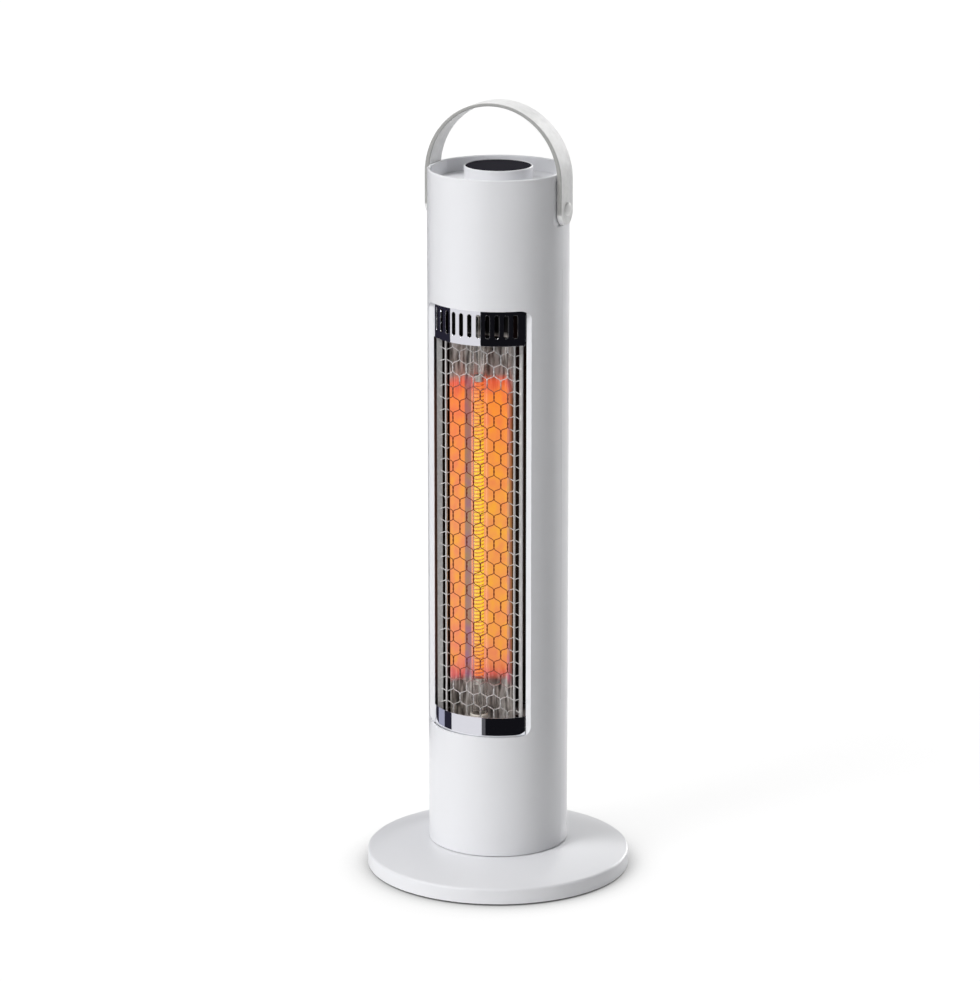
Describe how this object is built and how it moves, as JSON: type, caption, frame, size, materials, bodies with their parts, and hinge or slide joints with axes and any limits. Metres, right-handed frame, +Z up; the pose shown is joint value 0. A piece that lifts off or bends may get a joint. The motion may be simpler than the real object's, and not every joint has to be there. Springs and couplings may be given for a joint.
{
  "type": "tower carbon fan heater",
  "caption": "Tower heater: glowing carbon lamp behind a hexagonal guard in a round white column, on a domed turning base, with a strap handle and a fan below the lamp.",
  "frame": {"origin": "centre of the feet's underside, on the surface the heater stands on", "axes": "+Z up along the column and its turning axis, the window looks towards -Y, +X to the right of someone who faces -Y from behind the heater"},
  "size_m": [0.25, 0.25, 0.7388],
  "materials": {
    "white_shell": "satin",
    "plate_steel": "satin",
    "foot_rubber": "matte",
    "zinc_screws": "satin",
    "machined_steel": "satin",
    "bearing_plastic": "satin",
    "black_plastic": "matte",
    "bracket_steel": "satin",
    "liner_black": "matte",
    "reflector_aluminium": "brushed",
    "quartz": "polished",
    "ceramic": "matte",
    "lead_nickel": "satin",
    "glowing_carbon": "glowing",
    "guard_wire": "satin",
    "bright_band": "polished",
    "motor_case": "satin",
    "fan_plastic": "satin",
    "circuit_board": "satin",
    "touch_panel": "polished",
    "silver_strap": "satin"
  },
  "bodies": {
    "base": {"base_cover": "white_shell", "base_plate": "plate_steel", "rubber_feet": "foot_rubber", "base_screws": "zinc_screws", "cord_grommet": "foot_rubber", "swivel_post": "machined_steel", "post_screws": "zinc_screws", "swivel_gear": "bearing_plastic", "slide_washer": "bearing_plastic", "retaining_ring": "zinc_screws"},
    "column": {"column_foot": "black_plastic", "foot_screws": "zinc_screws", "column_housing": "white_shell", "column_crown": "white_shell", "rear_cover": "white_shell", "rear_cover_screws": "zinc_screws", "lower_bracket": "bracket_steel", "upper_bracket": "bracket_steel", "bracket_screws": "zinc_screws", "heat_liner": "liner_black", "reflector": "reflector_aluminium", "quartz_tube": "quartz", "lamp_caps": "ceramic", "lamp_leads": "lead_nickel", "carbon_filament": "glowing_carbon", "guard_grille": "guard_wire", "head_band": "bright_band", "sill_band": "bright_band", "fan_frame": "black_plastic", "fan_motor": "motor_case", "fan_screws": "zinc_screws", "thermal_cutout": "black_plastic", "power_board": "circuit_board", "tilt_switch": "black_plastic", "swivel_motor": "motor_case", "motor_screws": "zinc_screws", "top_tray": "white_shell", "tray_screws": "zinc_screws", "panel_pedestal": "white_shell", "control_panel": "touch_panel", "display_board": "circuit_board", "handle_rivets": "silver_strap", "handle_washers": "bearing_plastic"},
    "fan": {"fan_rotor": "fan_plastic", "fan_shaft": "machined_steel"},
    "pinion": {"swivel_pinion": "bearing_plastic"},
    "handle": {"handle": "silver_strap"}
  },
  "joints": [
    {"name": "column_swivel", "type": "hinge", "parent": "base", "child": "column", "pos_m": [0, 0, 0.03], "axis": [0, 0, 1], "range_deg": [-40, 40]},
    {"name": "pinion_spin", "type": "hinge", "parent": "column", "child": "pinion", "pos_m": [0, 0.036, 0.032], "axis": [0, 0, 1], "range_deg": [-120, 120]},
    {"name": "fan_spin", "type": "hinge", "parent": "column", "child": "fan", "pos_m": [0, 0, 0.12], "axis": [0, 0, 1], "continuous": true},
    {"name": "handle_hinge", "type": "hinge", "parent": "column", "child": "handle", "pos_m": [0, 0, 0.644], "axis": [1, 0, 0], "range_deg": [-90, 90]}
  ],
  "couplings": [
    {"joint": "pinion_spin", "follows": "column_swivel", "ratio": 3}
  ]
}
